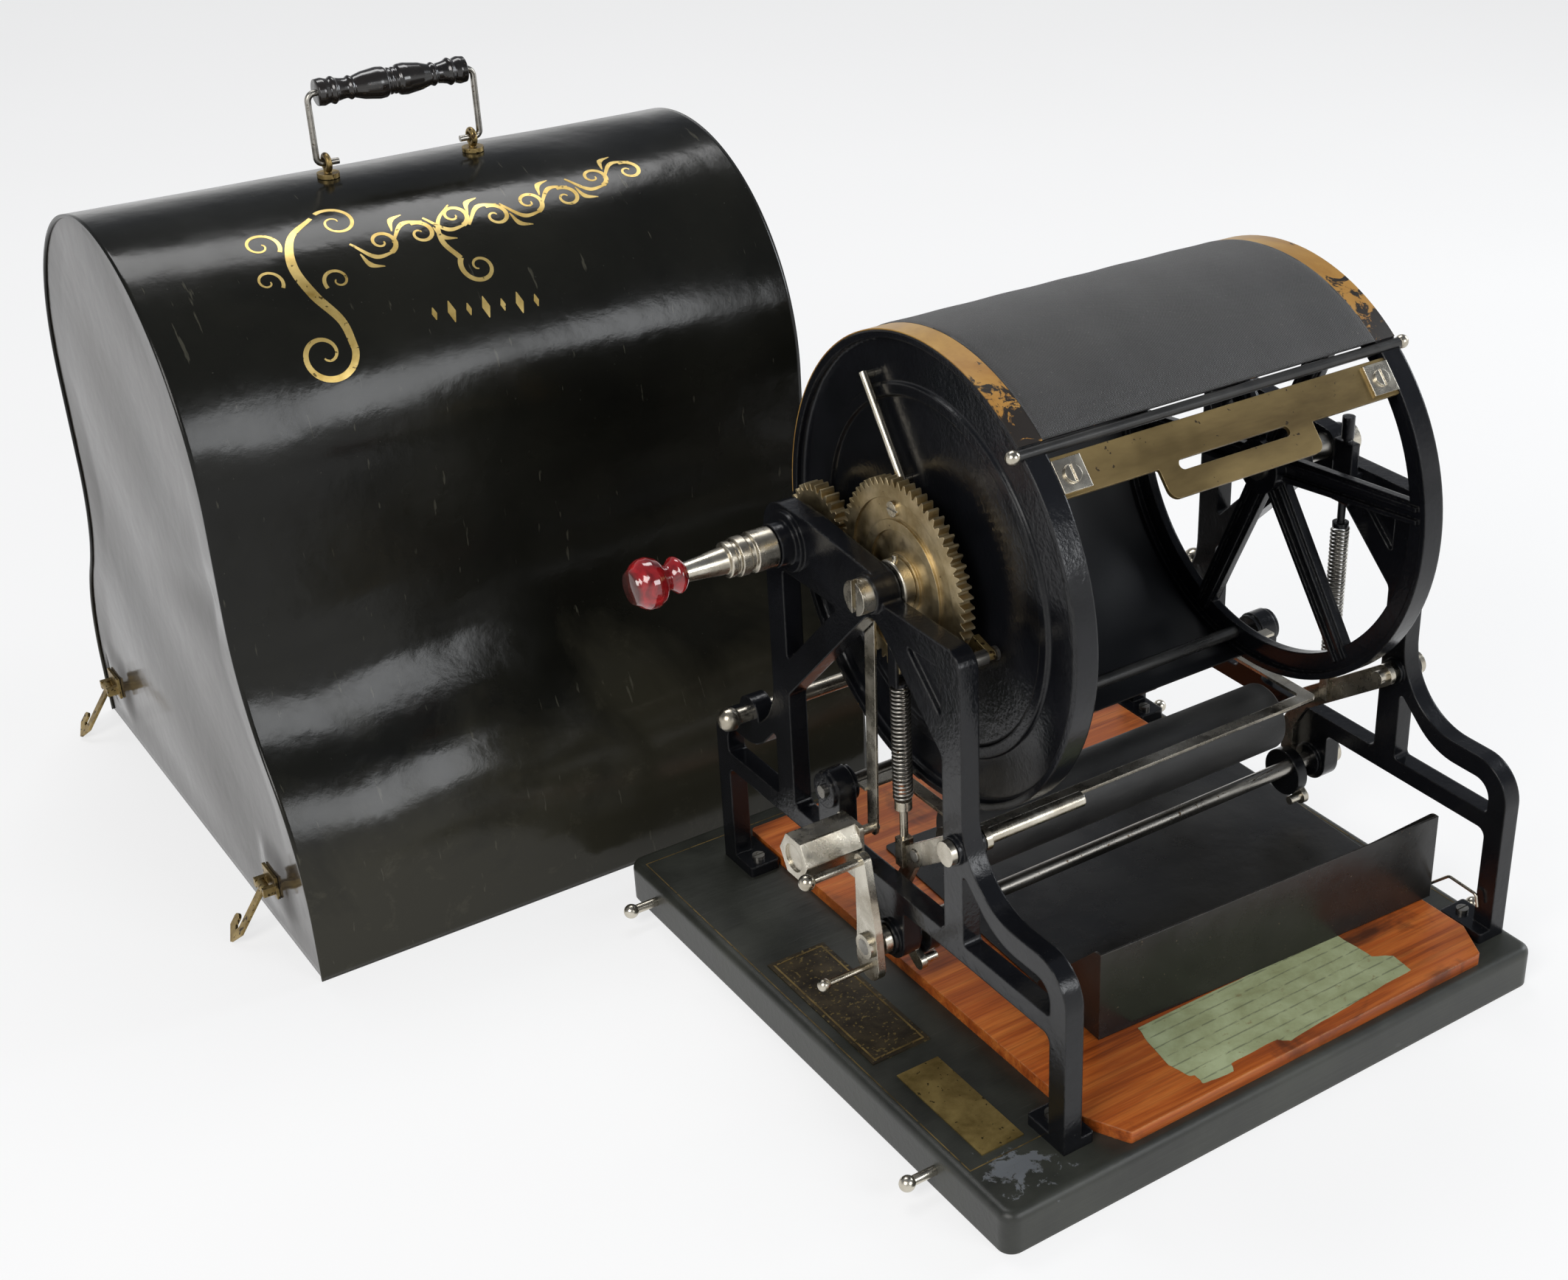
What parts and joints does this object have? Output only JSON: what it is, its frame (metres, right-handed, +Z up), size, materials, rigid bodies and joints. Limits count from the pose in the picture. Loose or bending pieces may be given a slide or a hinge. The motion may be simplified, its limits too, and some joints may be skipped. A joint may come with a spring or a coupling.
{
  "type": "rotary stencil duplicator with lift-off hood",
  "caption": "Hand-cranked rotary stencil duplicator: geared drum in open side frames on a board, lifting rubber roller, sheet tray, and a lift-off hood with a bail handle beside it.",
  "frame": {"origin": "centre of the board's underside, on the surface the machine stands on", "axes": "+X along the drum from the geared left side to the spoked right end, +Y to the back, +Z up"},
  "size_m": [0.6619, 0.868, 0.497],
  "materials": {
    "enamel": "gloss",
    "board_black": "satin",
    "stained_wood": "satin",
    "nickel": "polished, lightly worn",
    "steel": "brushed",
    "black_steel": "satin",
    "ochre": "satin",
    "cloth": "matt, inked",
    "bronze": "dull",
    "brass": "aged",
    "rubber": "matt",
    "brown_rubber": "matt",
    "tin": "semi-matt",
    "red_wood": "gloss",
    "turned_wood": "gloss"
  },
  "bodies": {
    "base": {"base_board": "board_black", "mat_board": "stained_wood", "side_frame_left": "enamel", "side_frame_right": "enamel", "frame_screws": "steel", "catch_pins": "nickel", "cross_rod": "nickel", "hub_nuts": "nickel", "spring_left": "steel", "spring_right": "steel", "spring_hangers": "black_steel", "counter_case": "nickel", "counter_bracket": "nickel", "counter_link": "nickel", "pawl_pin": "steel", "guide_frame": "nickel"},
    "drum": {"drum_disc": "enamel", "drum_wheel": "enamel", "drum_shaft": "steel", "drum_screen": "ochre", "drum_cloth": "cloth", "drum_gear": "steel", "gear_collar": "nickel", "drum_stays": "black_steel", "disc_rod": "nickel", "clamp_bar": "bronze", "clamp_fittings": "nickel", "clamp_rod": "black_steel"},
    "crank": {"crank_shaft": "steel", "crank_pinion": "steel", "crank_sleeve": "nickel", "crank_knob": "red_wood"},
    "carrier": {"lift_arm_left": "nickel", "lift_arm_right": "nickel", "pivot_rods": "nickel", "spring_links": "nickel"},
    "roller": {"impression_roller": "rubber", "roller_shaft": "steel"},
    "trip": {"trip_shaft": "steel", "trip_cams": "black_steel", "trip_collars": "nickel", "trip_lever": "nickel", "trip_pegs": "nickel"},
    "pawl": {"stop_pawl": "brass"},
    "feed": {"feed_shaft": "steel", "feed_wheels": "brown_rubber"},
    "tray": {"tray": "tin", "tray_hook": "nickel"},
    "hood": {"hood_barrel": "enamel", "hood_end_left": "enamel", "hood_end_right": "enamel", "handle_eyes": "brass", "hook_plates": "brass"},
    "bail": {"bail_wire": "steel", "bail_grip": "turned_wood"},
    "hook_left_front": {"hook_left_front": "brass"},
    "hook_left_rear": {"hook_left_rear": "brass"},
    "hook_right_front": {"hook_right_front": "brass"},
    "hook_right_rear": {"hook_right_rear": "brass"}
  },
  "joints": [
    {"name": "drum_spin", "type": "hinge", "parent": "base", "child": "drum", "pos_m": [0.017, -0.012, 0.299], "axis": [1, 0, 0], "continuous": true},
    {"name": "crank_spin", "type": "hinge", "parent": "base", "child": "crank", "pos_m": [-0.14, 0.07258, 0.297], "axis": [1, 0, 0], "continuous": true},
    {"name": "roller_lift", "type": "hinge", "parent": "base", "child": "carrier", "pos_m": [0.024, -0.089, 0.174], "axis": [1, 0, 0], "range_deg": [0, 9.2], "deforming": ["spring_left", "spring_right"]},
    {"name": "roller_spin", "type": "hinge", "parent": "carrier", "child": "roller", "pos_m": [0.017, -0.024, 0.128], "axis": [1, 0, 0], "continuous": true},
    {"name": "trip_turn", "type": "hinge", "parent": "base", "child": "trip", "pos_m": [0.024, -0.021, 0.077], "axis": [1, 0, 0], "range_deg": [0, 100]},
    {"name": "pawl_swing", "type": "hinge", "parent": "base", "child": "pawl", "pos_m": [-0.1265, -0.09, 0.288], "axis": [1, 0, 0], "range_deg": [-15, 0]},
    {"name": "feed_spin", "type": "hinge", "parent": "base", "child": "feed", "pos_m": [0.024, 0.042, 0.146], "axis": [1, 0, 0], "continuous": true},
    {"name": "tray_slide", "type": "slide", "parent": "base", "child": "tray", "axis": [-0.0454, -0.999, 0], "range_m": [0, 0.11]},
    {"name": "hood_lift", "type": "slide", "parent": "base", "child": "hood", "axis": [0, 0, 1], "range_m": [0, 0.35]},
    {"name": "bail_swing", "type": "hinge", "parent": "hood", "child": "bail", "pos_m": [-0.201, 0.448, 0.443], "axis": [1, 0, 0], "range_deg": [-90, 90]},
    {"name": "hook_left_front_swing", "type": "hinge", "parent": "hood", "child": "hook_left_front", "pos_m": [-0.4105, 0.306, 0.037], "axis": [0, 1, 0], "range_deg": [-4, 100]},
    {"name": "hook_left_rear_swing", "type": "hinge", "parent": "hood", "child": "hook_left_rear", "pos_m": [-0.4105, 0.622, 0.037], "axis": [0, 1, 0], "range_deg": [-4, 100]},
    {"name": "hook_right_front_swing", "type": "hinge", "parent": "hood", "child": "hook_right_front", "pos_m": [0.0085, 0.306, 0.037], "axis": [0, -1, 0], "range_deg": [-4, 100]},
    {"name": "hook_right_rear_swing", "type": "hinge", "parent": "hood", "child": "hook_right_rear", "pos_m": [0.0085, 0.622, 0.037], "axis": [0, -1, 0], "range_deg": [-4, 100]}
  ],
  "couplings": [
    {"joint": "crank_spin", "follows": "drum_spin", "ratio": -2.1333},
    {"joint": "trip_turn", "follows": "roller_lift", "ratio": 10.869}
  ]
}
